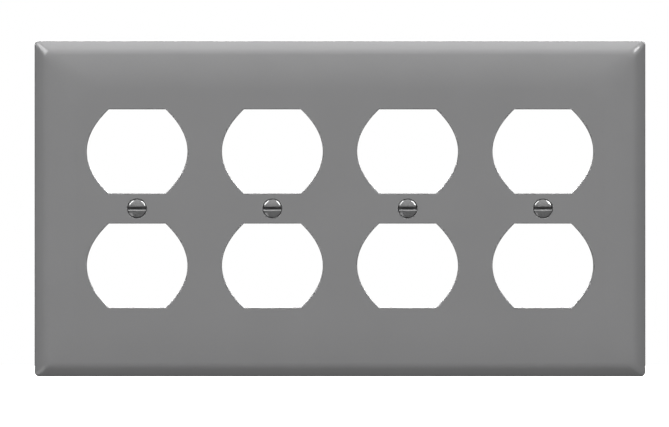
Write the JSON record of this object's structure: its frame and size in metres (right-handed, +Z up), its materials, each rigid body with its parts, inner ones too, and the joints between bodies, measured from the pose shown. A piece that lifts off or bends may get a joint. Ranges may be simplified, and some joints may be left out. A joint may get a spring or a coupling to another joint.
{
  "type": "duplex wall plate",
  "caption": "Wall plate with a bevelled rim and barrel-shaped openings for duplex receptacles, held by slotted oval-head screws.",
  "frame": {"origin": "middle of the plate's back rim, on the wall surface", "axes": "+Z up, +X to the right seen from the front, +Y into the wall; the face looks along -Y"},
  "size_m": [0.208, 0.0138, 0.1142],
  "materials": {
    "plate_plastic": "satin",
    "screw_finish": "gloss"
  },
  "bodies": {
    "plate": {"wall_plate": "plate_plastic"},
    "screw_1": {"screw_1": "screw_finish"},
    "screw_2": {"screw_2": "screw_finish"},
    "screw_3": {"screw_3": "screw_finish"},
    "screw_4": {"screw_4": "screw_finish"}
  },
  "joints": [
    {"name": "screw_1_backs_out", "type": "slide", "parent": "plate", "child": "screw_1", "axis": [0, -1, 0], "range_m": [0, 0.0137]},
    {"name": "screw_2_backs_out", "type": "slide", "parent": "plate", "child": "screw_2", "axis": [0, -1, 0], "range_m": [0, 0.0137]},
    {"name": "screw_3_backs_out", "type": "slide", "parent": "plate", "child": "screw_3", "axis": [0, -1, 0], "range_m": [0, 0.0137]},
    {"name": "screw_4_backs_out", "type": "slide", "parent": "plate", "child": "screw_4", "axis": [0, -1, 0], "range_m": [0, 0.0137]}
  ]
}
